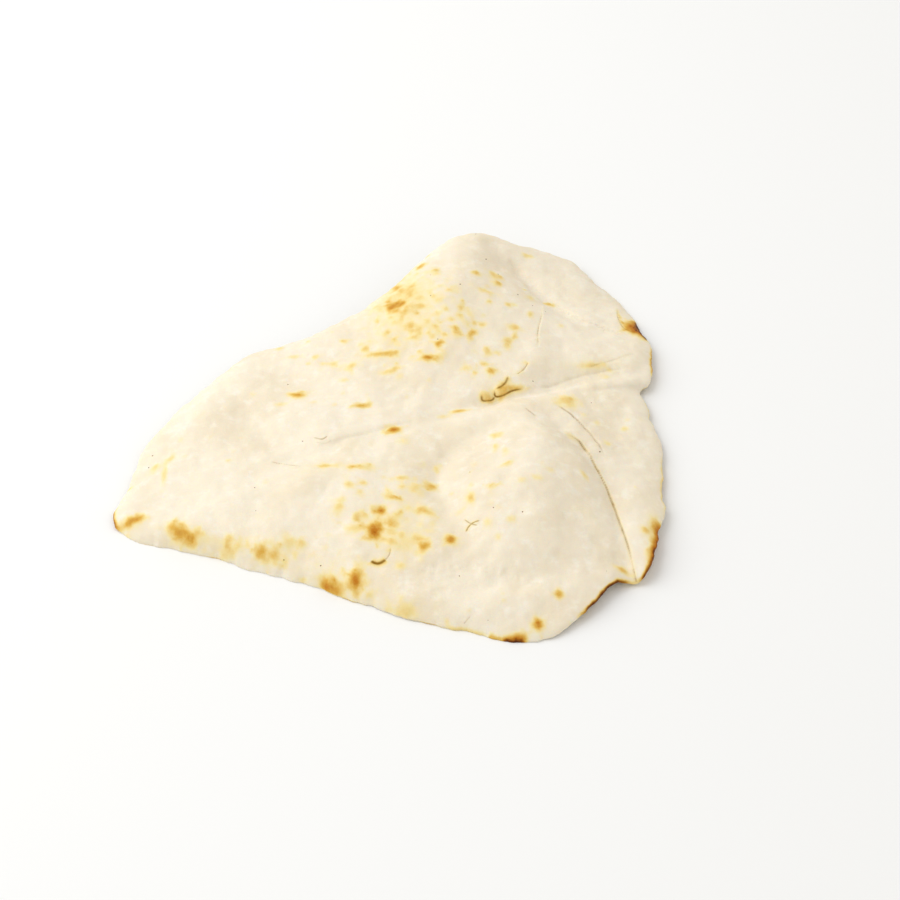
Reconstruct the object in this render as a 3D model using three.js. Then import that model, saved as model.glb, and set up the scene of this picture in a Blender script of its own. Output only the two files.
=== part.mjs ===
// Naan: one thin flatbread that was lifted by steam, pinched and laid down, so that it keeps two
// raised crowns, the folds between them and a rim that hangs to the surface it lies on.
// Millimetres, +Z up. The origin is under the middle of the bread, on the surface it rests on.

import * as THREE from 'three';

// Driving dimensions
const DOUGH = 4.6; // thickness of the bread away from its rim
const EDGE = 2.0; // thickness of the bread at its rim
const CROWN = 17; // height of the middle of the sheet before hills, ridges and folds shape it
const RIM_SHARPNESS = 22; // higher values bend the rim down closer to its edge
const EDGE_SHARPNESS = 14; // higher values keep the full thickness closer to the edge
const CREST_POWER = 1.6; // lower values make the crests of hills and ridges narrower
const HILL_FADE = 8; // higher values carry the hills and ridges closer to the edge
const SETTLE = 1.2; // how much of the lowest rim is pressed flat by the surface under it
const CELLS = 50; // cells along each side of the square grid that is bent to the outline
const CROWDING = 0.15; // how much closer together the rings of cells are at the rim than in the middle
const LINE_STEPS = 24; // straight steps along the curved line of a ridge or a fold
const RIPPLE = 0.004; // depth of each wave along the hand-stretched edge, as a share of the reach
const RIPPLE_WAVES = [13, 21, 34]; // waves of each length round the whole edge
const BLISTERS = { count: 60, radius: [8, 17], rise: [0.5, 1.7], seed: 7 }; // low bubbles in the dough

// The point of the plan that every stretch of the rim can be seen from
const HEART = new THREE.Vector2(20, 0);

// The rim, counter-clockwise from the narrow tip: plan x and y, the height that the edge ends at,
// and the height of the shoulder that it hangs from
const RIM = [
  [-124, -53, 6, 9],
  [-119, -61, 4, 9],
  [-85, -73, 4, 13],
  [-43, -89, 4, 12],
  [6, -111, 5, 10],
  [51, -125, 4, 7],
  [68, -125, 5, 6.5],
  [80, -117, 7, 8],
  [93, -102, 9, 10],
  [104, -92, 9, 10],
  [108.5, -92, 7, 8],
  [113, -87, 10, 11],
  [121, -61, 9, 10.5],
  [123.5, -20, 7, 9],
  [125, -6, 7, 9],
  [123, 7, 7, 9],
  [118, 27, 7, 9],
  [116.5, 36, 7, 9],
  [122, 41, 9, 11],
  [124, 64, 8, 10],
  [116, 93, 5, 8],
  [100, 122, 5, 8],
  [83, 135, 10, 12],
  [64, 135.5, 17, 19],
  [36, 134, 27, 29],
  [17, 120, 24, 26],
  [-12, 89.5, 16, 18],
  [-43.5, 67, 13, 15],
  [-68.5, 58.5, 10, 12],
  [-108, 8, 8, 10],
  [-119, -25, 7, 9],
];

// Broad hills: plan centre, half-widths along x and y, and rise
const HILLS = [
  { at: [30, 68], half: [90, 76], rise: 8 }, // back crown
  { at: [-8, -38], half: [96, 76], rise: 3 }, // middle of the sheet
];

// Ridges: points along the crest as plan x, y and rise, and the half-width
const RIDGES = [
  // front crown
  { line: [[64, -4, 6], [67, -25, 10], [62, -51, 10], [55, -74, 7], [49, -92, 4]], half: 44 },
  // wrinkle up the back crown from the pinch
  { line: [[57, 26, 1], [64, 38, 2], [70, 52, 2], [72, 85, 0]], half: 10 },
  // narrow half, beside the fold across it
  { line: [[-78, 42, 2], [-88, 14, 2.5], [-84, -20, 1]], half: 20 },
];

// Folds: points along the floor as plan x, y and depth, and the half-width
const FOLDS = [
  // between the crowns, from the pinch to the right edge
  { line: [[36, 9, 1], [46, 15, 9], [57, 19, 7], [75, 27, 5], [94, 38, 4], [118, 45, 2]], half: 14 },
  // down the right side of the front crown
  { line: [[70, 8, 1], [77, -4, 3], [86, -14, 4], [93, -29, 4], [99, -47, 4], [107, -97, 3]], half: 12 },
  // between the back crown and the flap behind it
  { line: [[50, 122, 1], [64, 108, 5], [74, 96, 5], [88, 81, 3], [114, 72, 0]], half: 15 },
  // round the left foot of the front crown
  { line: [[52, -2, 1], [36, -13, 3], [27, -22, 4], [21, -35, 5], [25, -54, 4], [38, -83, 2]], half: 15 },
  // along the front foot of the front crown
  { line: [[11, -96, 0], [42, -100, 3.5], [70, -96, 2]], half: 14 },
  // across the narrow half, from the back rim to the pinch
  { line: [[-80, 30, 1], [-67, 4, 2], [-51, -17, 3], [-37, -22, 3], [-17, -14, 2], [40, 11, 1]], half: 14 },
];

const RIM_CURVE = new THREE.CatmullRomCurve3(
  RIM.map(([x, y, height]) => new THREE.Vector3(x, y, height)), true, 'centripetal');
const SHOULDER_CURVE = new THREE.CatmullRomCurve3(
  RIM.map(([x, y, , shoulder]) => new THREE.Vector3(x, y, shoulder)), true, 'centripetal');

// A round crest that is 1 at 0 and reaches 0 with no slope at 1
function crest(distance) {
  return distance < 1 ? (1 - distance ** CREST_POWER) ** 2 : 0;
}

// A valley that is 1 along its sharp floor and reaches 0 with no slope at 1
function valley(distance) {
  return distance < 1 ? (1 - distance) ** 2 : 0;
}

// A repeatable draw of numbers from 0 to 1
function seededDraw(seed) {
  let state = seed;
  return () => {
    state = (Math.imul(state, 1664525) + 1013904223) >>> 0;
    return state / 2 ** 32;
  };
}

// Low round hills scattered over the box round the rim
function scatterBlisters({ count, radius, rise, seed }) {
  const draw = seededDraw(seed);
  const between = ([low, high]) => THREE.MathUtils.lerp(low, high, draw());
  const box = new THREE.Box2().setFromPoints(RIM.map(([x, y]) => new THREE.Vector2(x, y)));
  return Array.from({ length: count }, () => {
    const at = [between([box.min.x, box.max.x]), between([box.min.y, box.max.y])];
    const width = between(radius);
    return { at, half: [width, width], rise: between(rise) };
  });
}

// A line of ridge or fold points as a curve in steps, with the rise or depth as its z
function lineSteps({ line, half }) {
  const curve = new THREE.CatmullRomCurve3(line.map((p) => new THREE.Vector3(...p)), false, 'centripetal');
  return { steps: curve.getPoints(LINE_STEPS), half };
}

const ALL_HILLS = [...HILLS, ...scatterBlisters(BLISTERS)];
const RIDGE_STEPS = RIDGES.map(lineSteps);
const FOLD_STEPS = FOLDS.map(lineSteps);

// What a ridge or a fold adds at a plan point: its rise at the nearest step, times its profile there
function lineRelief({ steps, half }, x, y, profile) {
  let nearest = Infinity;
  let rise = 0;
  for (let i = 1; i < steps.length; i++) {
    const [from, to] = [steps[i - 1], steps[i]];
    const [runX, runY] = [to.x - from.x, to.y - from.y];
    const along = THREE.MathUtils.clamp(
      ((x - from.x) * runX + (y - from.y) * runY) / (runX ** 2 + runY ** 2), 0, 1);
    const away = Math.hypot(x - from.x - runX * along, y - from.y - runY * along);
    if (away < nearest) {
      nearest = away;
      rise = THREE.MathUtils.lerp(from.z, to.z, along);
    }
  }
  return rise * profile(nearest / half);
}

function hillRelief({ at, half, rise }, x, y) {
  return rise * crest(Math.hypot((x - at[0]) / half[0], (y - at[1]) / half[1]));
}

// Bends a point of the square from -1 to 1 to a reach from the heart, 0 to 1, and a place on the rim,
// 0 to 1, so that squares round the middle become rings of the outline
function ringPlace(a, b) {
  const ring = Math.max(Math.abs(a), Math.abs(b));
  const reach = ring * (1 + CROWDING * (1 - ring ** 2));
  if (ring === 0) return { reach, around: 0 };
  const eighth = Math.abs(a) >= Math.abs(b)
    ? (a > 0 ? b / a : 4 + b / a)
    : (b > 0 ? 2 - a / b : 6 - a / b);
  return { reach, around: THREE.MathUtils.euclideanModulo(eighth / 8, 1) };
}

// The small in-and-out of the edge at a place on the rim
function edgeRipple(around) {
  const wave = (waves) => Math.sin(2 * Math.PI * waves * around + waves);
  return RIPPLE * RIPPLE_WAVES.reduce((sum, waves) => sum + wave(waves), 0);
}

// A point of the sheet halfway through the dough
function sheetPoint({ reach, around }) {
  const edge = RIM_CURVE.getPointAt(around);
  const shoulder = SHOULDER_CURVE.getPointAt(around).z;
  const rippled = reach * (1 + edgeRipple(around) * reach ** RIM_SHARPNESS);
  const x = THREE.MathUtils.lerp(HEART.x, edge.x, rippled);
  const y = THREE.MathUtils.lerp(HEART.y, edge.y, rippled);
  const dome = THREE.MathUtils.lerp(CROWN, shoulder, reach ** 2);
  const droop = (shoulder - edge.z) * reach ** RIM_SHARPNESS;
  let raised = 0;
  for (const hill of ALL_HILLS) raised += hillRelief(hill, x, y);
  for (const ridge of RIDGE_STEPS) raised += lineRelief(ridge, x, y, crest);
  let pressed = 0;
  for (const fold of FOLD_STEPS) pressed += lineRelief(fold, x, y, valley);
  return new THREE.Vector3(x, y, dome - droop + raised * (1 - reach ** HILL_FADE) - pressed);
}

// The grid's number for a place i across and j along
const gridIndex = (i, j) => j * (CELLS + 1) + i;

// The triangles of the sheet, each cell cut along its shorter diagonal
function sheetTriangles(points) {
  const triangles = [];
  for (let j = 0; j < CELLS; j++) {
    for (let i = 0; i < CELLS; i++) {
      const cell = [gridIndex(i, j), gridIndex(i + 1, j), gridIndex(i + 1, j + 1), gridIndex(i, j + 1)];
      const span = (k) => points[cell[k]].distanceTo(points[cell[k + 2]]);
      const turn = span(0) > span(1) ? 1 : 0;
      const [p, q, r, s] = cell.map((_, k) => cell[(k + turn) % 4]);
      triangles.push([p, q, r], [p, r, s]);
    }
  }
  return triangles;
}

// The grid's numbers along the border of the sheet, counter-clockwise
function borderIndices() {
  const border = [];
  for (let i = 0; i < CELLS; i++) border.push(gridIndex(i, 0));
  for (let j = 0; j < CELLS; j++) border.push(gridIndex(CELLS, j));
  for (let i = CELLS; i > 0; i--) border.push(gridIndex(i, CELLS));
  for (let j = CELLS; j > 0; j--) border.push(gridIndex(0, j));
  return border;
}

function toGeometry(points, triangles) {
  const geometry = new THREE.BufferGeometry().setFromPoints(points);
  geometry.setIndex(triangles.flat());
  geometry.computeVertexNormals();
  return geometry;
}

// The sheet halfway through the dough: its points, triangles, normals, and half its thickness at each
function makeSheet() {
  const points = [];
  const halves = [];
  for (let j = 0; j <= CELLS; j++) {
    for (let i = 0; i <= CELLS; i++) {
      const place = ringPlace((2 * i) / CELLS - 1, (2 * j) / CELLS - 1);
      points.push(sheetPoint(place));
      halves.push(THREE.MathUtils.lerp(DOUGH, EDGE, place.reach ** EDGE_SHARPNESS) / 2);
    }
  }
  const triangles = sheetTriangles(points);
  const normal = toGeometry(points, triangles).getAttribute('normal');
  const normals = points.map((_, k) => new THREE.Vector3().fromBufferAttribute(normal, k));
  return { points, triangles, normals, halves };
}

// The closed solid: an upper and a lower skin half the thickness from the sheet, and a round rim
function makeBread() {
  const { points, triangles, normals, halves } = makeSheet();
  const away = (k, side) => points[k].clone().addScaledVector(normals[k], side * halves[k]);
  const skin = (side) => points.map((_, k) => away(k, side));
  const below = points.length;
  const nose = 2 * points.length;
  const border = borderIndices();
  const noses = border.map((place, k) => {
    const along = points[border[(k + 1) % border.length]].clone().sub(points[border.at(k - 1)]);
    return points[place].clone().addScaledVector(along.cross(normals[place]).normalize(), halves[place]);
  });
  const faces = triangles.flatMap(([p, q, r]) => [[p, q, r], [below + p, below + r, below + q]]);
  border.forEach((place, k) => {
    const after = (k + 1) % border.length;
    const following = border[after];
    faces.push([place, nose + k, nose + after], [place, nose + after, following]);
    faces.push([below + place, nose + after, nose + k], [below + place, below + following, nose + after]);
  });
  return toGeometry(setDown([...skin(1), ...skin(-1), ...noses]), faces);
}

// Moves the points so that the lowest rim is pressed flat on z = 0 and the origin is under the middle
function setDown(points) {
  const box = new THREE.Box3().setFromPoints(points);
  const middle = box.getCenter(new THREE.Vector3());
  const floor = box.min.z + SETTLE;
  return points.map((p) => new THREE.Vector3(p.x - middle.x, p.y - middle.y, Math.max(p.z - floor, 0)));
}

const crust = new THREE.MeshStandardMaterial({ color: '#efe0c2', roughness: 0.85, metalness: 0 });
const naan = new THREE.Mesh(makeBread(), crust);
naan.name = 'naan';

const bread = new THREE.Group();
bread.add(naan);

export default bread;
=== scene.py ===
# %% [markdown]
# A naan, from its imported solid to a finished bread
#
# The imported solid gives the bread's size, its two crowns, its folds and its rim. This lesson keeps that
# shape, adds what is too fine for the solid (creases, cracks, bubbles and a ragged edge), browns the
# crust where a hot oven browned it, and sets the bread on a pale floor in soft light.

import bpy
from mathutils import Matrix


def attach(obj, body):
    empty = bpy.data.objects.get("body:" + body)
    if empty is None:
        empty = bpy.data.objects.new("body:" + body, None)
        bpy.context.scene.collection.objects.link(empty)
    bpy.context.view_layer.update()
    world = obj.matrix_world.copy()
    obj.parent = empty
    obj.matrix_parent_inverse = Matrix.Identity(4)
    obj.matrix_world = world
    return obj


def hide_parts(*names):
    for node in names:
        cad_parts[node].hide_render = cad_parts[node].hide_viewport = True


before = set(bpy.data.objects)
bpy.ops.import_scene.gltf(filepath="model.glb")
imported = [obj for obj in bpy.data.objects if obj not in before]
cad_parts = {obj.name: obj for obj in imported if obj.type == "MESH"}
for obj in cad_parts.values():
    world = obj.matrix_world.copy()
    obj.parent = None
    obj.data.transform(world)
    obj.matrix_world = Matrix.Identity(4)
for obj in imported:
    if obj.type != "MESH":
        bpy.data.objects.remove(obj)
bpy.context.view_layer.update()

import math

import bmesh
import bpy
import numpy as np
from mathutils import Vector, kdtree, noise
from mathutils.bvhtree import BVHTree

MM = 0.001  # Blender works in metres, and a baker thinks in millimetres
NODE = "naan"

# %% [markdown]
# The camera
#
# It comes first, because the brown spots and creases are placed by where the photograph shows them. A
# long lens looks down on the bread from 42 degrees, so the bread keeps nearly the same scale from its
# front rim to its back rim. Everything here follows from that scale, the height of the view and its
# distance.

# %% Camera
IMAGE_PX = 900  # the photograph's width and height
PX_PER_MM = 2.14  # its scale at the bread
VIEW_ANGLE = math.radians(42)  # how far above the floor the camera looks from
VIEW_DISTANCE = 1150 * MM
LOOK_AT = Vector((26.8, -7.9, 0)) * MM  # the point of the floor in the middle of the picture
SENSOR_MM = 36
FOCAL_PX = PX_PER_MM * VIEW_DISTANCE / MM


def aim(thing, place, target):
    """Puts a camera or light into the scene, at a place and turned towards a target."""
    thing.location = place
    thing.rotation_euler = (target - place).to_track_quat("-Z", "Y").to_euler()
    bpy.context.scene.collection.objects.link(thing)


camera = bpy.data.objects.new("camera", bpy.data.cameras.new("camera"))
camera.data.sensor_width = SENSOR_MM
camera.data.lens = FOCAL_PX / IMAGE_PX * SENSOR_MM
view_offset = Vector((0, -math.cos(VIEW_ANGLE), math.sin(VIEW_ANGLE))) * VIEW_DISTANCE
aim(camera, LOOK_AT + view_offset, LOOK_AT)
bpy.context.scene.camera = camera
bpy.context.view_layer.update()
print("lens, mm:", round(camera.data.lens, 1))

# %% [markdown]
# The dough's smooth form
#
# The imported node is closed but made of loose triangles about 5 mm across, and dough has no facets. A
# copy is merged, its triangles are paired back into squares, and two levels of Catmull-Clark give a
# smooth skin with a point about every 1.2 mm. Remeshing would also do it, but it would round the thin rim.

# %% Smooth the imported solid
MERGE = 0.001 * MM
PAIR_ANGLE = math.radians(70)
SMOOTH_LEVELS = 2


def evaluated_mesh(thing):
    """The mesh that an object's modifiers give, as a plain mesh."""
    shown = thing.evaluated_get(bpy.context.evaluated_depsgraph_get())
    return bpy.data.meshes.new_from_object(shown)


def smooth_copy(node, name):
    """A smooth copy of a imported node, as a new object with no modifier left on it."""
    work = bmesh.new()
    work.from_mesh(node.data)
    bmesh.ops.remove_doubles(work, verts=work.verts, dist=MERGE)
    bmesh.ops.join_triangles(
        work, faces=work.faces, angle_face_threshold=PAIR_ANGLE, angle_shape_threshold=PAIR_ANGLE)
    mesh = bpy.data.meshes.new(name)
    work.to_mesh(mesh)
    work.free()
    copy = bpy.data.objects.new(name, mesh)
    bpy.context.scene.collection.objects.link(copy)
    smoother = copy.modifiers.new("smooth", "SUBSURF")
    smoother.levels = SMOOTH_LEVELS
    smoother.render_levels = SMOOTH_LEVELS
    copy.data = evaluated_mesh(copy)
    copy.modifiers.remove(smoother)
    return copy


bread = smooth_copy(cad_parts[NODE], "naan_bread")
skin = BVHTree.FromPolygons(
    [v.co.copy() for v in bread.data.vertices], [list(p.vertices) for p in bread.data.polygons])
print("smooth skin:", len(bread.data.vertices), "points,", len(bread.data.polygons), "faces")

# %% [markdown]
# From the photograph to the bread
#
# A spot is easiest to read off the photograph as a pixel. A ray from the camera through that pixel lands
# on the bread, so the spot stays on the crust from every side. A pixel just outside the outline falls
# back to the nearest place on the rim. A crease is a few such pixels with a smooth path through them.

# %% Land a pixel on the bread
RIM_HEIGHT = 4 * MM  # about where the rim is, for a pixel that misses the bread
PATH_STEPS = 14  # straight steps between two pixels of a path


def land(u, v):
    """The place on the bread that a pixel shows."""
    through = Vector((u - IMAGE_PX / 2, IMAGE_PX / 2 - v, -FOCAL_PX)).normalized()
    ray = camera.matrix_world.to_3x3() @ through
    start = camera.matrix_world.translation
    hit = skin.ray_cast(start, ray)[0]
    if hit is None:
        beside = start + ray * ((RIM_HEIGHT - start.z) / ray.z)
        hit = skin.find_nearest(beside)[0]
    return np.array(hit)


def smooth_path(pixels):
    """Close points along a Catmull-Rom curve through the places that some pixels show."""
    places = np.array([land(u, v) for u, v in pixels])
    knots = [2 * places[0] - places[1], *places, 2 * places[-1] - places[-2]]
    t = np.linspace(0, 1, PATH_STEPS, endpoint=False)[:, None]
    pieces = [
        b + 0.5 * t * (c - a + t * (2 * a - 5 * b + 4 * c - d + t * (3 * (b - c) + d - a)))
        for a, b, c, d in zip(knots, knots[1:], knots[2:], knots[3:])]
    return np.vstack([*pieces, places[-1:]])


middle = IMAGE_PX / 2
print("the middle of the picture lands at, mm:", np.round(land(middle, middle) / MM, 1))

# %% [markdown]
# Creases and cracks
#
# Where the bread was pinched and folded over, its skin keeps creases, and where the skin dried while the
# dough still moved, it cracked. Most are thin grooves, and a few of the folds are wide, shallow hollows. At
# a pleat the skin on one side also stands a little proud of the other. The mesh is split along the lines
# first, so that even a groove of one millimetre has points enough.

# %% Crease and crack lines
# Pixels that the line runs through, then depth and half-width in mm, how much painted shade the groove's
# floor gets, 0 to 1, and how far the skin on its left stands proud, in mm
CREASES = {
    "fold between the crowns": (
        [(524, 389), (553, 385), (576, 377), (606, 371), (640, 367)], 0.5, 1.1, 0.25, 0),
    "second fold": ([(584, 369), (607, 362), (636, 354)], 0.12, 0.6, 0.34, 0.12),
    "right of the front crown": (
        [(556, 428), (578, 441), (593, 463), (609, 494), (618, 518), (628, 546), (636, 580), (638, 585)],
        0.35, 0.6, 0.72, 0.7),
    "far right": ([(552, 402), (566, 411), (579, 422), (596, 441), (608, 461)], 0.25, 0.6, 0.55, 0.3),
    "top of the front crown": ([(524, 407), (530, 411), (537, 416)], 0.12, 0.6, 0.46, 0),
    "back valley": ([(508, 258), (525, 276), (546, 296)], 0.9, 2.2, 0.15, 0.3),
    "flap": ([(546, 296), (575, 318), (603, 328), (632, 339)], 0.2, 0.8, 0.15, 1),
    "corner of the flap": ([(617, 306), (618, 318), (626, 330), (640, 336)], 0.12, 0.5, 0.57, 0),
    "narrow half, line": ([(268, 461), (284, 463), (305, 467)], 0.12, 0.5, 0.46, 0.06),
    "narrow half, fold": ([(320, 449), (350, 438), (385, 428), (420, 420)], 0.3, 1.6, 0.06, 0.5),
    "foot of the front crown": ([(415, 570), (455, 566), (505, 572), (545, 588)], 1.2, 8, 0, 0),
    "roll of the front rim": ([(150, 494), (180, 501), (190, 512)], 0.15, 1.1, 0.07, 0.18),
}
CRACKS = {
    "tear": ([(543, 303), (541, 318), (538, 332), (539, 349)], 0.3, 0.45, 0.6, 0.45),
    "foot of the tear": ([(529, 361), (524, 369), (515, 376)], 0.3, 0.45, 0.65, 0.3),
    "pinch, left": ([(480, 393), (482, 401), (491, 401), (495, 396)], 0.15, 0.55, 0.85, 0),
    "pinch, middle": ([(494, 389), (495, 397), (504, 396), (513, 391), (526, 389)], 0.15, 0.55, 0.85, 0),
    "pinch, up": ([(494, 391), (502, 387), (506, 382), (509, 375)], 0.15, 0.65, 0.85, 0),
    "crescent": ([(369, 560), (378, 563), (388, 559)], 0.25, 0.75, 1, 0.12),
    "crescent, tail": ([(384, 561), (389, 555), (391, 547)], 0.1, 0.45, 0.5, 0.06),
    "branch": ([(465, 534), (471, 525), (482, 520)], 0.12, 0.4, 0.8, 0.12),
    "branch, short": ([(463, 519), (471, 524), (479, 526)], 0.12, 0.35, 0.69, 0.12),
    "hair crack": ([(312, 438), (322, 441), (329, 437)], 0.1, 0.4, 0.57, 0.12),
    "second hair crack": ([(314, 443), (325, 445), (333, 441)], 0.07, 0.4, 0.34, 0.12),
    "front rim crack": ([(463, 625), (471, 616)], 0.12, 0.4, 0.46, 0.06),
}
LINES = {**CREASES, **CRACKS}
paths = {name: smooth_path(pixels) for name, (pixels, *_) in LINES.items()}
print("creases:", len(CREASES), "cracks:", len(CRACKS))

# %% Split the skin along the lines
CREASE_BAND = 1.8 * MM  # how far from a line the skin is split once
CRACK_BAND = 1.2 * MM  # and how far from a crack it is split again


def path_distance(points, path, band):
    """How far each point is from a path, how far along it is, 0 to 1, and whether it is on its left. Past
    the band a point is infinitely far."""
    close = ((points > path.min(axis=0) - band) & (points < path.max(axis=0) + band)).all(axis=1)
    near = np.flatnonzero(close)
    distance = np.full(len(points), np.inf)
    along = np.zeros(len(points))
    left = np.zeros(len(points), bool)
    if len(near):
        gaps = np.linalg.norm(points[near, None] - path[None], axis=2)
        nearest = gaps.argmin(axis=1)
        run = np.gradient(path, axis=0)[nearest]
        offset = points[near] - path[nearest]
        distance[near] = gaps.min(axis=1)
        along[near] = nearest / (len(path) - 1)
        left[near] = run[:, 0] * offset[:, 1] > run[:, 1] * offset[:, 0]
    return distance, along, left


def mesh_points(mesh):
    """The places of a mesh's points, one row each."""
    flat = np.empty(3 * len(mesh.vertices))
    mesh.vertices.foreach_get("co", flat)
    return flat.reshape(-1, 3)


def split_near(mesh, lines, band):
    """Splits each edge of a mesh whose two ends are within a band of one of the lines."""
    points = mesh_points(mesh)
    near = np.zeros(len(points), bool)
    for path in lines:
        near |= path_distance(points, path, band)[0] < band
    work = bmesh.new()
    work.from_mesh(mesh)
    work.verts.ensure_lookup_table()
    edges = [edge for edge in work.edges if near[edge.verts[0].index] and near[edge.verts[1].index]]
    bmesh.ops.subdivide_edges(work, edges=edges, cuts=1, use_grid_fill=True)
    bmesh.ops.triangulate(work, faces=[face for face in work.faces if len(face.verts) > 4])
    work.to_mesh(mesh)
    work.free()


split_near(bread.data, paths.values(), CREASE_BAND)
split_near(bread.data, [paths[name] for name in CRACKS], CRACK_BAND)
triangles = sum(len(face.vertices) - 2 for face in bread.data.polygons)
print("split skin:", len(bread.data.vertices), "points,", triangles, "triangles")

# %% [markdown]
# Where on the bread each point is
#
# The relief and the browning need to know four things about a point: which skin it is on, which way is out
# of the dough there, how far in from the rim it is and where round the rim. The whole outline can be seen
# from one point inside it, so the rim is the farthest point in each direction from there.

# %% Upper skin, rim and outward direction
HEART = np.array([20, -5]) * MM  # a point of the plan that sees the whole rim
SECTORS = 480  # directions from the heart, each with a point of the rim
RIM_STEPS = 6  # steps between two of those points
TURNS_UP = (-0.15, 0.25)  # upward part of the normal where the underside ends and the upper skin is full

points = mesh_points(bread.data)
outward = np.empty(3 * len(points))
bread.data.vertices.foreach_get("normal", outward)
outward = outward.reshape(-1, 3)


def ease(value, low, high):
    """0 below low, 1 above high, and a smooth step between."""
    t = np.clip((value - low) / (high - low), 0, 1)
    return t * t * (3 - 2 * t)


def rim_line(points):
    """Close plan points once round the rim, counter-clockwise."""
    plan = points[:, :2] - HEART
    turn = np.arctan2(plan[:, 1], plan[:, 0]) / (2 * math.pi) % 1
    sector = (turn * SECTORS).astype(int)
    order = np.lexsort((np.linalg.norm(plan, axis=1), sector))
    farthest = order[np.flatnonzero(np.diff(np.append(sector[order], SECTORS)))]
    ring = points[farthest, :2]
    steps = np.linspace(0, 1, RIM_STEPS, endpoint=False)[:, None]
    return (ring[:, None] + steps * (np.roll(ring, -1, axis=0) - ring)[:, None]).reshape(-1, 2)


rim = rim_line(points)
rim_finder = kdtree.KDTree(len(rim))
for number, (x, y) in enumerate(rim):
    rim_finder.insert((x, y, 0), number)
rim_finder.balance()
found = [rim_finder.find((x, y, 0)) for x, y, _ in points]
inset = np.array([distance for _, _, distance in found])
rim_number = np.array([number for _, number, _ in found])
around = rim_number / len(rim)
run = np.roll(rim, -RIM_STEPS, axis=0) - np.roll(rim, RIM_STEPS, axis=0)
rim_out = np.column_stack([run[:, 1], -run[:, 0]]) / np.linalg.norm(run, axis=1)[:, None]
upper = ease(outward[:, 2], *TURNS_UP)
print("points on the upper skin:", int(upper.round().sum()), "of", len(points))

# %% [markdown]
# Brown spots
#
# In the oven the skin of a naan rises in bubbles, and the tops of the bubbles scorch. The dark ones here
# are read off the photograph; the many small golden ones are drawn at random, with a fixed seed, in the
# patches where the photograph has them, over a wide pale glow. Each spot is a bump of heat that is later
# turned into colour and into a low bubble. The underside is hidden in the photograph and gets the same
# kind of spots, drawn at random.

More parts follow.
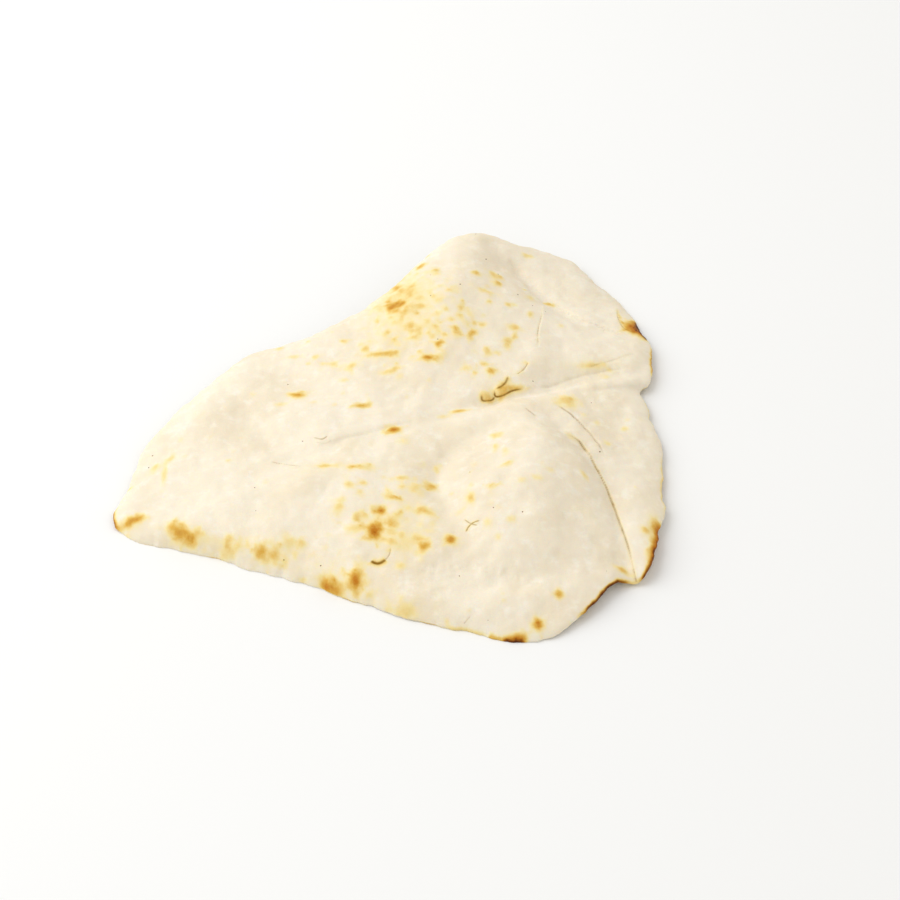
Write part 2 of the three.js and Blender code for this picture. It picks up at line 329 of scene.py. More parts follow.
# %% Spots that were read off the photograph
# By part of the bread: pixel, length and width in mm, turn in degrees, and heat, where 0.2 is golden, 0.6
# brown and 1 dark brown
SPOTS = {
    "middle": [
        (374, 532, 5.4, 7.0, 20, 0.94), (381, 511, 4.2, 4.0, 0, 0.85), (391, 521, 3.5, 5.0, -30, 0.4),
        (393, 430, 6.0, 4.0, 15, 0.9), (403, 440, 6.0, 5.0, 0, 0.25), (426, 546, 4.0, 3.6, 0, 0.62),
        (451, 540, 4.6, 4.2, 0, 0.82), (444, 415, 6.0, 2.0, 8, 0.3), (353, 467, 4.4, 2.2, 0, 0.62),
        (325, 466, 8.0, 2.4, -6, 0.42), (368, 467, 7.0, 3.0, 0, 0.24), (402, 478, 6.0, 2.6, 0, 0.4),
        (436, 469, 3.4, 4.0, 0, 0.34), (432, 487, 3.6, 3.6, -30, 0.55), (395, 498, 4.4, 2.0, -10, 0.6),
        (426, 512, 7.0, 3.2, -40, 0.45), (338, 508, 4.4, 6.0, 0, 0.36), (355, 528, 7.0, 5.5, 0, 0.3),
        (406, 545, 9.0, 8.0, 0, 0.2), (400, 566, 4.0, 3.2, 0, 0.32),
    ],
    "front crown": [
        (471, 499, 3.4, 6.0, 10, 0.42), (491, 486, 4.0, 2.6, 0, 0.4), (508, 463, 5.4, 3.0, 15, 0.38),
        (494, 435, 3.4, 4.0, 0, 0.36), (511, 519, 3.6, 3.4, 0, 0.3), (521, 480, 4.0, 3.2, 0, 0.25),
        (537, 478, 4.6, 3.0, -15, 0.28), (584, 475, 2.6, 5.5, 30, 0.32),
    ],
    "back crown": [
        (396, 306, 5.0, 7.5, 0, 0.3), (381, 355, 9.5, 2.8, -4, 0.55), (428, 358, 5.6, 3.2, -8, 0.85),
        (438, 346, 2.6, 3.6, 0, 0.5), (466, 369, 5.0, 3.6, 0, 0.3), (499, 285, 2.6, 2.8, 0, 0.5),
        (482, 324, 3.0, 3.4, 0, 0.42), (474, 332, 3.4, 2.4, 20, 0.42), (514, 306, 2.6, 2.4, 0, 0.3),
        (530, 315, 2.6, 3.8, 0, 0.4), (513, 327, 5.0, 3.6, 0, 0.34), (476, 274, 4.0, 2.6, 0, 0.42),
        (486, 292, 8.0, 2.4, -8, 0.32), (421, 266, 4.4, 3.2, 30, 0.55), (436, 270, 3.2, 3.6, 0, 0.42),
        (530, 256, 4.0, 2.4, 0, 0.3), (388, 372, 6.5, 3.0, 15, 0.38),
    ],
    "left slope of the back crown": [
        (361, 405, 6.5, 2.6, 8, 0.7), (298, 395, 6.8, 4.4, -14, 0.75), (281, 405, 6.0, 2.4, 0, 0.28),
        (333, 364, 4.2, 3.4, 0, 0.36), (352, 367, 4.0, 3.6, 0, 0.42), (344, 382, 4.4, 2.6, 0, 0.26),
        (316, 358, 3.0, 4.0, -30, 0.32), (293, 357, 6.5, 2.4, 0, 0.3), (280, 348, 4.4, 2.8, 0, 0.34),
        (253, 395, 4.0, 2.4, -30, 0.22),
    ],
    "pinch and folds": [
        (460, 410, 6.2, 2.0, 8, 0.62), (491, 372, 3.4, 3.8, 0, 0.62), (484, 365, 3.2, 2.6, 0, 0.5),
        (567, 401, 7.5, 7.0, 20, 0.28), (591, 366, 9.0, 2.6, 15, 0.3), (570, 437, 4.0, 7.0, 20, 0.22),
        (502, 391, 6.5, 3.4, 20, 0.42), (486, 397, 4.0, 3.6, 0, 0.45), (516, 388, 8.0, 2.4, 8, 0.4),
    ],
    "flap and its corner": [
        (640, 332, 6.0, 6.0, 0, 0.95), (549, 305, 4.2, 2.2, 0, 0.6), (561, 326, 3.0, 3.4, 0, 0.3),
        (635, 330, 9.5, 9.0, -20, 1.0), (620, 317, 1.6, 8.0, 10, 0.35),
    ],
    "narrow half": [
        (138, 519, 6.0, 4.0, 15, 0.75), (180, 532, 6.0, 5.0, -18, 0.66), (127, 524, 6.0, 3.6, 25, 0.62),
        (190, 538, 6.0, 4.4, -25, 0.6), (172, 527, 5.0, 4.6, 0, 0.5), (205, 540, 12.0, 4.0, -12, 0.14),
        (230, 549, 12.0, 4.0, -12, 0.14), (164, 474, 2.4, 14.0, 0, 0.34),
        (155, 467, 3.0, 6.0, -25, 0.36), (171, 457, 2.6, 6.0, -10, 0.32), (128, 489, 4.0, 1.8, 20, 0.4),
    ],
    "front rim": [
        (356, 580, 4.8, 5.6, 0, 0.9), (326, 587, 5.5, 4.6, -20, 0.78), (337, 592, 6.0, 4.0, -10, 0.6),
        (538, 623, 4.0, 5.0, 10, 0.85), (517, 639, 8.0, 3.6, 12, 0.8), (559, 594, 3.4, 3.6, 0, 0.68),
        (406, 612, 7.0, 4.0, 0, 0.3), (261, 553, 5.6, 4.6, 0, 0.6), (274, 555, 4.8, 4.0, 0, 0.5),
        (291, 543, 6.5, 4.6, 0, 0.26), (302, 543, 3.6, 3.4, 0, 0.32),
    ],
    "right rim": [
        (622, 570, 5.5, 3.2, -20, 0.55), (645, 530, 3.0, 3.0, 0, 0.5), (655, 524, 3.4, 5.0, 0, 0.4),
    ],
}

# Wide pale glows, in the same order of values
GLOWS = [
    (402, 300, 28, 42, 0, 0.30), (378, 350, 44, 20, 0, 0.08), (400, 525, 38, 40, 0, 0.12),
    (190, 534, 66, 10, -14, 0.06), (282, 548, 30, 12, -20, 0.08), (335, 583, 24, 14, -20, 0.14),
    (405, 612, 30, 9, -20, 0.12), (653, 535, 9, 30, 0, 0.16), (500, 384, 24, 20, 0, 0.10),
    (480, 310, 44, 40, 0, 0.07), (567, 401, 12, 9, 0, 0.22), (340, 465, 40, 14, 0, 0.08),
    (595, 365, 40, 10, 15, 0.12),
]

# Patches of small spots: middle pixel, reach in pixels, how many, size range in mm and heat range
PATCHES = [
    ((398, 300), (26, 30), 46, (1.6, 4.0), (0.12, 0.45)),  # back rim of the back crown
    ((385, 345), (50, 34), 28, (1.4, 3.2), (0.10, 0.36)),  # foot of the back crown
    ((478, 315), (52, 44), 64, (1.4, 3.8), (0.12, 0.44)),  # top of the back crown
    ((345, 380), (60, 30), 18, (1.6, 3.4), (0.06, 0.26)),  # left slope of the back crown
    ((395, 510), (48, 44), 42, (1.4, 4.6), (0.10, 0.40)),  # middle, round the darkest spot
    ((500, 480), (52, 46), 30, (1.4, 3.6), (0.08, 0.30)),  # front crown
    ((250, 543), (90, 12), 18, (1.6, 3.6), (0.06, 0.26)),  # front rim of the narrow half
    ((450, 600), (110, 26), 18, (1.4, 3.0), (0.06, 0.24)),  # front rim
    ((600, 440), (44, 70), 20, (1.4, 3.6), (0.06, 0.26)),  # right side
    ((220, 450), (60, 50), 14, (1.4, 3.0), (0.05, 0.20)),  # narrow half
]
SEED = 11
print("spots:", sum(map(len, SPOTS.values())), "glows:", len(GLOWS), "patches:", len(PATCHES))

# %% Heat on the upper skin and the underside
GOLDEN = 0.2  # heat from which the crust is golden
UNDER_SPOTS = 260
UNDER_SIZE = (1.6, 5.0)  # half-length of a spot under the bread, mm
UNDER_HEAT = (0.10, 0.75)
UNDER_WIDTH = 0.8  # width of such a spot, as a share of its length
UNDER_SKIN = 0.1  # a point with less of the upper skin than this is on the underside
SPOT_FADE = 1.3  # a spot's heat still shows at this many times its half-size
SPOT_REACH = 3  # and it is worked out to this many times that
WARP_SIZE = 3.2 * MM  # size of the unevenness of a spot's edge
WARP = 0.4  # how uneven a spot's edge is
SPREAD = 0.55  # how far the spots of a patch spread, as a share of its reach
NARROWEST, WIDEST = 0.8, 1.5  # width of a small spot, as a share of its length
OCTAVE_STEP = 2.0  # each octave of noise is this many times finer than the one before
OCTAVE_FADE = 1.0  # and weaker by that number to this power

random = np.random.default_rng(SEED)


def unevenness(points, size, octaves=2):
    """Smooth random numbers, about -1 to 1, whose patches have a given size."""
    return np.array([noise.fractal(Vector(p / size), OCTAVE_FADE, OCTAVE_STEP, octaves) for p in points])


def spot_heat(points, place, half_length, half_width, turn, heat, warp):
    """The heat of one spot at each point: full in its middle, and fading through its uneven edge."""
    offset = points - place
    reach = SPOT_REACH * SPOT_FADE * max(half_length, half_width)
    near = np.flatnonzero((np.abs(offset) < reach).all(axis=1))
    c, s = math.cos(turn), math.sin(turn)
    x, y = offset[near, 0], offset[near, 1]
    across = np.hypot((x * c + y * s) / half_length, (y * c - x * s) / half_width)
    result = np.zeros(len(points))
    result[near] = heat * np.exp(-((across * (1 + WARP * warp[near]) / SPOT_FADE) ** 2))
    return result


def draw_patch(middle, reach, count, size, heat):
    """The spots of one patch, drawn at random round its middle."""
    spots = []
    for _ in range(count):
        u, v = np.array(middle) + np.array(reach) * random.normal(0, SPREAD, 2)
        length = random.uniform(*size)
        width = length * random.uniform(NARROWEST, WIDEST)
        spots.append((u, v, length, width, 0, random.uniform(*heat)))
    return spots


def heat_map(points):
    """The heat of all spots at each point: those of the upper skin, then those of the underside."""
    warp = unevenness(points, WARP_SIZE)
    drawn = [spot for patch in PATCHES for spot in draw_patch(*patch)]
    cool = np.ones(len(points))
    for u, v, length, width, turn, heat in [*sum(SPOTS.values(), []), *GLOWS, *drawn]:
        half_length, half_width = length / 2 * MM, width / 2 * MM
        spot = spot_heat(points, land(u, v), half_length, half_width, math.radians(turn), heat, warp)
        cool *= 1 - spot * upper
    under = np.flatnonzero(upper < UNDER_SKIN)
    for place in points[random.choice(under, UNDER_SPOTS)]:
        size = random.uniform(*UNDER_SIZE) * MM
        spot = spot_heat(points, place, size, size * UNDER_WIDTH, 0, random.uniform(*UNDER_HEAT), warp)
        cool *= 1 - spot * (1 - upper)
    return 1 - cool


heat = heat_map(points)
print("share of the crust that is golden or darker:", round(float((heat > GOLDEN).mean()), 3))

# %% [markdown]
# The scorched rim
#
# The rim is thin, so it burns first. The photograph shows a dark line along the front right rim, a burnt
# corner behind it, and short burns on the front and at the narrow tip. Each is a stretch of the rim
# between two pixels. It is drawn in heat and char, fades inwards, and is broken up by the unevenness.

# %% Burns along the rim
# First and last pixel, how far in from the edge it reaches in mm, heat and char
BURNS = [
    ((572, 623), (641, 577), 1.0, 1.0, 0.65),
    ((634, 588), (657, 540), 1.1, 1.0, 0.6),
    ((646, 568), (661, 518), 2.6, 1.0, 0.2),
    ((661, 520), (664, 450), 1.0, 0.35, 0.0),
    ((494, 641), (530, 638), 1.6, 1.0, 0.65),
    ((482, 640), (504, 641), 1.2, 0.6, 0.1),
    ((629, 317), (650, 345), 3.2, 1.0, 0.85),
    ((650, 345), (652, 382), 1.0, 0.7, 0.3),
    ((641, 392), (657, 432), 0.8, 0.3, 0.0),
    ((540, 249), (628, 314), 0.8, 0.25, 0.0),
    ((118, 503), (113, 537), 1.3, 0.8, 0.5),
    ((440, 627), (490, 640), 0.8, 0.35, 0.0),
]
BURN_BREAK = 0.45  # how much the unevenness breaks up a burn
BURN_ENDS = 0.28  # share of a burn's length over which each end fades


def rim_place(u, v):
    """How far round the rim, 0 to 1, the place nearest to a pixel is."""
    x, y, _ = land(u, v)
    return rim_finder.find((x, y, 0))[1] / len(rim)


def burn_rim(points, heat):
    """The heat with the rim's burns added, and the char of those burns."""
    char = np.zeros(len(points))
    uneven = unevenness(points, WARP_SIZE)
    for first, last, reach, burn_heat, burn_char in BURNS:
        start, end = rim_place(*first), rim_place(*last)
        # the burn goes the short way round, and share is 0 where it starts and 1 where it ends
        length = (end - start + 0.5) % 1 - 0.5
        share = ((around - start + 0.5 * (1 - length)) % 1 - 0.5 * (1 - length)) / length
        ends = ease(share, 0, BURN_ENDS) * ease(1 - share, 0, BURN_ENDS)
        profile = ends * np.exp(-(inset / (reach * MM * (1 + BURN_BREAK * uneven))) ** 2)
        heat = 1 - (1 - heat) * (1 - burn_heat * profile)
        char = np.maximum(char, burn_char * profile)
    return heat, char


heat, char = burn_rim(points, heat)
print("points with some char:", int((char > 0).sum()))

# %% [markdown]
# The fine relief
#
# Dough that has been stretched by hand is never even: it has low waves a few centimetres long, small
# bubbles where it browned, knots where it was pinched, and a ragged rim. Each of these is a height in
# millimetres. The two skins move the same way in the long waves, so the bread keeps its thickness. The
# edges of the darkest cracks stood up into the heat, so they brown as well.

# %% Move the points
WAVES = [(26, 1.0), (11, 0.55), (5, 0.22)]  # size and height of the dough's waves, mm
WAVE_OCTAVES = 3  # finer and finer waves within each wave
WAVE_INSET = 9  # how far in from the rim the waves are full, mm
# Knots of dough at the pinch: pixel, length and width in mm, turn in degrees and height in mm
KNOTS = [(486, 397, 4.4, 4.4, 0, 1.4), (503, 391, 7.0, 4.0, 20, 1.5)]
BUBBLE = 0.5  # height of the bubble under a fully browned spot, mm
BUBBLE_INSET = 3  # how far in from the rim the bubbles are full, mm
PLEAT_REACH = 4.5  # how far from a crease its raised side falls back, mm
PLEAT_BAND = 3 * PLEAT_REACH  # and how far it is worked out, mm
LINE_BREAK = 0.35  # how much the unevenness breaks up a crease
LINE_DEEPEST = 1.3  # and at most how many times deeper it makes it
LINE_ENDS = (0.01, 0.2)  # shares of a line's length between which each end comes in
LINE_REACH = 5  # a groove is worked out to this many half-widths
LINE_GLOW = 2.4  # the edges of a dark groove brown this many half-widths wide
LINE_HEAT = 0.5  # heat at the edges of the darkest groove
LINE_FALL = 3  # power by which that heat falls for a paler groove
RAGGED = 0.8  # how far the rim's edge wanders, mm
RAGGED_SIZE = 6  # length of that wandering, mm
RAGGED_REACH = 4  # how far in from the edge it is felt, mm


def line_relief(points):
    """The height that creases and cracks give each point, in mm, how much painted shade their floors get,
    and how much their edges browned."""
    height = np.zeros(len(points))
    shade = np.zeros(len(points))
    glow = np.zeros(len(points))
    broken = 1 + LINE_BREAK * unevenness(points, WARP_SIZE)
    for name, (_, depth, half, dark, proud) in LINES.items():
        band = max(LINE_REACH * half, PLEAT_BAND) * MM
        distance, along, left = path_distance(points, paths[name], band)
        ends = ease(along, *LINE_ENDS) * ease(1 - along, *LINE_ENDS)
        d = np.minimum(distance / MM, band / MM)
        groove = ends * np.exp(-((d / half) ** 2)) * np.clip(broken, 0, LINE_DEEPEST)
        pleat = ends * left * np.exp(-((d / PLEAT_REACH) ** 2)) * ease(d, 0, half)
        height += proud * pleat - depth * groove
        # painted shade along the floor of each groove
        shade = np.maximum(shade, dark * groove)
        glow = np.maximum(glow, dark**LINE_FALL * ends * np.exp(-((d / (LINE_GLOW * half)) ** 2)))
    return height, shade, glow


def wave_relief(points):
    """The height of the dough's own waves, in mm."""
    return sum(height * unevenness(points, size * MM, WAVE_OCTAVES) for size, height in WAVES)


def knot_relief(points):
    """The height of the knots of dough, in mm."""
    even = np.zeros(len(points))
    return sum(
        spot_heat(points, land(u, v), length / 2 * MM, width / 2 * MM, math.radians(turn), height, even)
        for u, v, length, width, turn, height in KNOTS)


# the grooves' floors get painted shade as well as depth
grooves, painted_crease_shade, glow = line_relief(points)
heat = 1 - (1 - heat) * (1 - LINE_HEAT * glow * upper)
same_way = np.where(outward[:, 2:3] > 0, 1, -1)  # the underside follows the upper skin
waves = wave_relief(points) * ease(inset, 0, WAVE_INSET * MM)
moved = points + outward * same_way * (waves * MM)[:, None]
bubbles = BUBBLE * heat * ease(inset, 0, BUBBLE_INSET * MM)
raised = (grooves + knot_relief(points)) * upper + bubbles
moved += outward * (raised * MM)[:, None]
plan = np.column_stack([points[:, :2], np.zeros(len(points))])
at_edge = np.exp(-((inset / (RAGGED_REACH * MM)) ** 2))
wander = RAGGED * unevenness(plan, RAGGED_SIZE * MM, WAVE_OCTAVES) * at_edge
moved[:, :2] += rim_out[rim_number] * (wander * MM)[:, None]
moved[:, 2] = np.maximum(moved[:, 2], 0)
bread.data.vertices.foreach_set("co", moved.ravel())
bread.data.update()
print("largest move, mm:", round(float(np.linalg.norm(moved - points, axis=1).max() / MM), 2))

# %% Keep browning, char and the painted crease shade on the mesh
for name, values in {"browning": heat, "char": char, "painted_crease_shade": painted_crease_shade}.items():
    layer = bread.data.attributes.new(name, "FLOAT", "POINT")
    layer.data.foreach_set("value", values.astype(np.float32))
bread.data.shade_smooth()
print("layers on the mesh:", [a.name for a in bread.data.attributes if a.domain == "POINT"])

# %% [markdown]
# Baked wheat dough
#
# The crust is dry, matte and cream, a little translucent, with fine pores and a dusting of flour. Its
# colour goes from cream through gold and brown to char as the heat rises. A ramp of colours would do, but
# one coat of colour over another, each with its own mask, lets every coat have its own grain. All sizes
# are in millimetres and are read in Object coordinates, so the grain stays with the bread.

# %% Material helpers
def to_linear(hex_colour):
    """An sRGB hex colour as linear red, green, blue and alpha."""
    shares = [int(hex_colour[i:i + 2], 16) / 255 for i in (1, 3, 5)]
    return [s / 12.92 if s <= 0.04045 else ((s + 0.055) / 1.055) ** 2.4 for s in shares] + [1.0]


def add_node(tree, kind, settings, inputs):
    """Adds a node to a tree, with its settings, and its inputs as values or as links from other nodes."""
    node = tree.nodes.new(kind)
    for key, value in settings.items():
        setattr(node, key, value)
    for key, value in inputs.items():
        if isinstance(value, bpy.types.NodeSocket):
            tree.links.new(value, node.inputs[key])
        else:
            node.inputs[key].default_value = value
    return node


def per_metre(size_mm):
    """The scale of a texture whose pattern has a given size."""
    return 1 / (size_mm * MM)


# %% Crust material
MIX_FACTOR, MIX_UNDER, MIX_OVER, MIX_RESULT = 0, 6, 7, 2  # the colour sockets of a Mix node
DOUGH_COLOUR = "#F1E6D1"
# Size in mm and detail of each grain
GRAINS = {
    "patch": (30, 3), "flour": (6, 4), "warmth": (12, 4), "scorch": (1.6, 2), "pore": (0.9, 3),
    "dimple": (2.8, 3)}
# Mask, the values where the coat starts and is full, its strength and its colour
COATS = [
    ("patch", 0.40, 0.66, 0.8, "#EBDDC3"),
    ("warmth", 0.52, 0.78, 0.5, "#EFDFB8"),
    ("flour", 0.48, 0.74, 0.6, "#F6F0E3"),
    ("browning", 0.02, 0.34, 0.9, "#F3DF9F"),
    ("browning", 0.20, 0.66, 0.95, "#DFB24C"),
    ("browning", 0.50, 0.96, 1.0, "#BE740A"),
    ("browning", 0.92, 1.04, 1.0, "#7E4002"),
    ("char", 0.25, 0.80, 0.95, "#522400"),
    # painted shade in the floors of creases and cracks, a dark olive brown
    ("painted_crease_shade", 0.06, 1.00, 0.95, "#8A6210"),
]
GRAIN_ROUGHNESS = 0.6  # how strong the finest detail of a grain is
NOISE_RANGE = (0.25, 0.75)  # the values that a noise texture mostly keeps to
SCORCH_RANGE = (0.9, 1.1)  # how much the scorch grain weakens or strengthens browning, char and creases
SMOOTHER = (0.2, 0.9)  # browning where the skin starts to get smoother, and where it is smoothest
FLOURY_ROUGHNESS, BROWNED_ROUGHNESS = 0.84, 0.62
PORE_SHARE = 0.35  # height of the pores, as a share of that of the dimples
BUMP_STRENGTH = 0.4
BUMP_HEIGHT = 0.5  # mm
DOUGH_IOR = 1.45
DOUGH_SPECULAR = 0.2
TRANSLUCENCY = 0.15  # share of the light that goes into the dough and comes out again
TRANSLUCENT_COLOUR = (1.0, 0.6, 0.3)  # red goes furthest
TRANSLUCENT_DEPTH = 3  # mm


def make_crust():
    """Baked wheat dough: matte and cream, and gold to char where it was hot."""
    material = bpy.data.materials.new("baked_wheat_dough")
    material.use_nodes = True
    tree = material.node_tree
    shader = tree.nodes["Principled BSDF"]
    where = add_node(tree, "ShaderNodeTexCoord", {}, {}).outputs["Object"]

    masks = {}
    for name, (size, detail) in GRAINS.items():
        inputs = {
            "Vector": where, "Scale": per_metre(size), "Detail": detail, "Roughness": GRAIN_ROUGHNESS}
        masks[name] = add_node(tree, "ShaderNodeTexNoise", {}, inputs).outputs["Fac"]
    broken = add_node(tree, "ShaderNodeMapRange", {}, {
        "Value": masks["scorch"], "From Min": NOISE_RANGE[0], "From Max": NOISE_RANGE[1],
        "To Min": SCORCH_RANGE[0], "To Max": SCORCH_RANGE[1]})
    for name in ("browning", "char", "painted_crease_shade"):
        layer = add_node(tree, "ShaderNodeAttribute", {"attribute_name": name}, {})
        masks[name] = add_node(tree, "ShaderNodeMath", {"operation": "MULTIPLY"}, {
            0: layer.outputs["Fac"], 1: broken.outputs["Result"]}).outputs[0]

    colour = to_linear(DOUGH_COLOUR)
    for mask, start, full, strength, hex_colour in COATS:
        cover = add_node(tree, "ShaderNodeMapRange", {"interpolation_type": "SMOOTHSTEP"}, {
            "Value": masks[mask], "From Min": start, "From Max": full, "To Max": strength})
        coat = add_node(tree, "ShaderNodeMix", {"data_type": "RGBA"}, {
            MIX_FACTOR: cover.outputs["Result"], MIX_UNDER: colour, MIX_OVER: to_linear(hex_colour)})
        colour = coat.outputs[MIX_RESULT]

    # browned skin is a little smoother than floury skin
    gloss = add_node(tree, "ShaderNodeMapRange", {}, {
        "Value": masks["browning"], "From Min": SMOOTHER[0], "From Max": SMOOTHER[1],
        "To Min": FLOURY_ROUGHNESS, "To Max": BROWNED_ROUGHNESS})
    pitted = add_node(tree, "ShaderNodeMath", {"operation": "MULTIPLY_ADD"}, {
        0: masks["pore"], 1: PORE_SHARE, 2: masks["dimple"]})
    bump = add_node(tree, "ShaderNodeBump", {}, {
        "Strength": BUMP_STRENGTH, "Distance": BUMP_HEIGHT * MM, "Height": pitted.outputs[0]})

    tree.links.new(colour, shader.inputs["Base Color"])
    tree.links.new(gloss.outputs["Result"], shader.inputs["Roughness"])
    tree.links.new(bump.outputs["Normal"], shader.inputs["Normal"])
    shader.inputs["IOR"].default_value = DOUGH_IOR
    shader.inputs["Specular IOR Level"].default_value = DOUGH_SPECULAR
    shader.inputs["Subsurface Weight"].default_value = TRANSLUCENCY
    shader.inputs["Subsurface Radius"].default_value = TRANSLUCENT_COLOUR
    shader.inputs["Subsurface Scale"].default_value = TRANSLUCENT_DEPTH * MM
    return material


bread.data.materials.clear()
bread.data.materials.append(make_crust())
print("crust nodes:", len(bread.data.materials[0].node_tree.nodes))

# %% [markdown]
# Charred flecks
#
# Specks of burnt flour and bran stick to the crust. They are small, flat and scattered, so Geometry Nodes
# place them: points are spread over the upper skin at random, and each gets a flattened ball of its own
# size and turn. The tree ends in real mesh, because the flecks are handed over as a piece.

# %% Fleck material
FLECK_DARK, FLECK_PALE = "#2E1A0C", "#8A5A24"
FLECK_PATCH = 4  # mm of crust over which the flecks go from dark to pale
FLECK_DETAIL = 2
FLECK_ROUGHNESS = 0.8


def make_fleck_material():
    """Burnt flour: dull, dark brown, and uneven from fleck to fleck."""
    material = bpy.data.materials.new("burnt_flour")
    material.use_nodes = True
    tree = material.node_tree
    shader = tree.nodes["Principled BSDF"]
    where = add_node(tree, "ShaderNodeTexCoord", {}, {}).outputs["Object"]
    patches = add_node(tree, "ShaderNodeTexNoise", {}, {
        "Vector": where, "Scale": per_metre(FLECK_PATCH), "Detail": FLECK_DETAIL})
    colour = add_node(tree, "ShaderNodeMix", {"data_type": "RGBA"}, {
        MIX_FACTOR: patches.outputs["Fac"], MIX_UNDER: to_linear(FLECK_DARK),
        MIX_OVER: to_linear(FLECK_PALE)})
    tree.links.new(colour.outputs[MIX_RESULT], shader.inputs["Base Color"])
    shader.inputs["Roughness"].default_value = FLECK_ROUGHNESS
    return material


# %% Fleck scatter
FLECKS_PER_M2 = 500
FLECK_SIZE = (0.2, 0.5)  # half-length of a fleck, mm
FLECK_FLATTEST = (0.7, 0.4, 0.15)  # length, width and thickness of a fleck, as shares of its size
FLECK_FULLEST = (1.0, 0.8, 0.3)
FLECK_SUBDIVISIONS = 2
FLECK_SEED = 5
RANDOM_MIN, RANDOM_MAX = 2, 3  # the sockets of a Random Value node that draws plain numbers
FACES_UP = 0.3  # a face whose normal points up at least this much is on the upper skin


def make_fleck_tree(material):
    """A node tree that turns a bread into the flecks on it."""
    tree = bpy.data.node_groups.new("fleck_scatter", "GeometryNodeTree")
    tree.interface.new_socket("Bread", in_out="INPUT", socket_type="NodeSocketGeometry")
    for name in ("Flecks per square metre", "Smallest", "Largest"):
        tree.interface.new_socket(name, in_out="INPUT", socket_type="NodeSocketFloat")
    tree.interface.new_socket("Seed", in_out="INPUT", socket_type="NodeSocketInt")
    tree.interface.new_socket("Flecks", in_out="OUTPUT", socket_type="NodeSocketGeometry")
    given = add_node(tree, "NodeGroupInput", {}, {}).outputs

    normal = add_node(tree, "GeometryNodeInputNormal", {}, {})
    normal_parts = add_node(tree, "ShaderNodeSeparateXYZ", {}, {0: normal.outputs[0]})
    is_top = add_node(tree, "FunctionNodeCompare", {"operation": "GREATER_THAN"}, {
        0: normal_parts.outputs["Z"], 1: FACES_UP})
    spread = add_node(tree, "GeometryNodeDistributePointsOnFaces", {}, {
        "Mesh": given["Bread"], "Selection": is_top.outputs[0],
        "Density": given["Flecks per square metre"], "Seed": given["Seed"]})
    ball = add_node(tree, "GeometryNodeMeshIcoSphere", {}, {
        "Radius": 1.0, "Subdivisions": FLECK_SUBDIVISIONS})
    size = add_node(tree, "FunctionNodeRandomValue", {}, {
        RANDOM_MIN: given["Smallest"], RANDOM_MAX: given["Largest"], "Seed": given["Seed"]})
    proportions = add_node(tree, "FunctionNodeRandomValue", {"data_type": "FLOAT_VECTOR"}, {
        0: FLECK_FLATTEST, 1: FLECK_FULLEST, "Seed": given["Seed"]})
    scale = add_node(tree, "ShaderNodeVectorMath", {"operation": "SCALE"}, {
        0: proportions.outputs[0], "Scale": size.outputs[1]})
    spin = add_node(tree, "FunctionNodeRandomValue", {"data_type": "FLOAT_VECTOR"}, {
        0: (0, 0, 0), 1: (0, 0, math.tau), "Seed": given["Seed"]})
    turned = add_node(tree, "FunctionNodeRotateRotation", {"rotation_space": "LOCAL"}, {
        "Rotation": spread.outputs["Rotation"], "Rotate By": spin.outputs[0]})
    placed = add_node(tree, "GeometryNodeInstanceOnPoints", {}, {
        "Points": spread.outputs["Points"], "Instance": ball.outputs["Mesh"],
        "Rotation": turned.outputs[0], "Scale": scale.outputs[0]})
    real = add_node(tree, "GeometryNodeRealizeInstances", {}, {0: placed.outputs[0]})
    coated = add_node(tree, "GeometryNodeSetMaterial", {}, {
        "Geometry": real.outputs[0], "Material": material})
    add_node(tree, "NodeGroupOutput", {}, {"Flecks": coated.outputs[0]})
    return tree


def scatter_flecks(name):
    """The flecks on the bread, as a new object of plain mesh."""
    flecks = bpy.data.objects.new(name, bread.data.copy())
    bpy.context.scene.collection.objects.link(flecks)
    material = make_fleck_material()
    scatter = flecks.modifiers.new("scatter", "NODES")
    scatter.node_group = make_fleck_tree(material)
    values = {
        "Flecks per square metre": float(FLECKS_PER_M2), "Smallest": FLECK_SIZE[0] * MM,
        "Largest": FLECK_SIZE[1] * MM, "Seed": FLECK_SEED}
    for socket in scatter.node_group.interface.items_tree:
        if socket.name in values:
            scatter[socket.identifier] = values[socket.name]
    flecks.data = evaluated_mesh(flecks)
    flecks.modifiers.remove(scatter)
    flecks.data.materials.clear()
    flecks.data.materials.append(material)
    return flecks


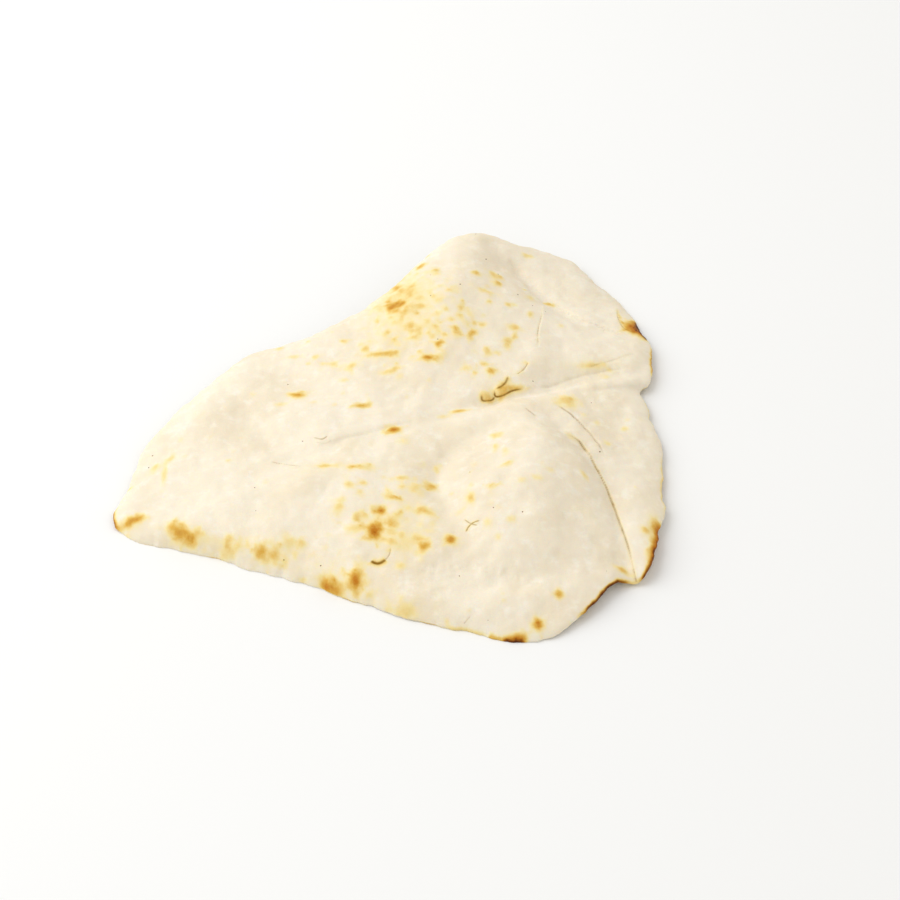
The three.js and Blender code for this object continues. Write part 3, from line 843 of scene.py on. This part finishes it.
flecks = scatter_flecks("burnt_flecks")
print("flecks:", len(flecks.data.polygons), "faces")

# %% [markdown]
# Stage and light
#
# The bread lies on a plain white floor. One large soft light on the left, a little behind, shapes the
# crowns and folds. A bright surround keeps the shadows open. The light is a touch cool and the surround a
# touch warm, as with a window in a room, so the shaded dough is warmer than the lit dough.

# %% Floor, light and world
FLOOR_SIZE = 12  # metres, as are the key light's place and size
FLOOR_COLOUR = "#F4F4F4"
FLOOR_ROUGHNESS = 0.9
KEY_PLACE = Vector((-1.1, 0.35, 1.1))
KEY_SIZE = 1.6
KEY_WATTS = 16
KEY_COLOUR = (0.94, 0.97, 1.0)
SURROUND = 0.78
SURROUND_COLOUR = (1.0, 0.982, 0.94, 1.0)


def make_floor():
    """A plain white floor at the height that the bread rests on."""
    half = FLOOR_SIZE / 2
    corners = [(-half, -half, 0), (half, -half, 0), (half, half, 0), (-half, half, 0)]
    mesh = bpy.data.meshes.new("floor")
    mesh.from_pydata(corners, [], [(0, 1, 2, 3)])
    material = bpy.data.materials.new("white_paper")
    material.use_nodes = True
    shader = material.node_tree.nodes["Principled BSDF"]
    shader.inputs["Base Color"].default_value = to_linear(FLOOR_COLOUR)
    shader.inputs["Roughness"].default_value = FLOOR_ROUGHNESS
    mesh.materials.append(material)
    floor = bpy.data.objects.new("floor", mesh)
    bpy.context.scene.collection.objects.link(floor)
    return floor


key = bpy.data.objects.new("key", bpy.data.lights.new("key", "AREA"))
key.data.size = KEY_SIZE
key.data.energy = KEY_WATTS
key.data.color = KEY_COLOUR
aim(key, KEY_PLACE, Vector((0, 0, 0)))
world = bpy.data.worlds.new("surround")
world.use_nodes = True
world.node_tree.nodes["Background"].inputs["Color"].default_value = SURROUND_COLOUR
world.node_tree.nodes["Background"].inputs["Strength"].default_value = SURROUND
bpy.context.scene.world = world
bpy.context.scene.view_settings.view_transform = "Standard"
floor = make_floor()
print("light:", KEY_WATTS, "W and a surround of", SURROUND)

# %% Hand over
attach(bread, "root")
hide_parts(NODE)
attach(flecks, "root")
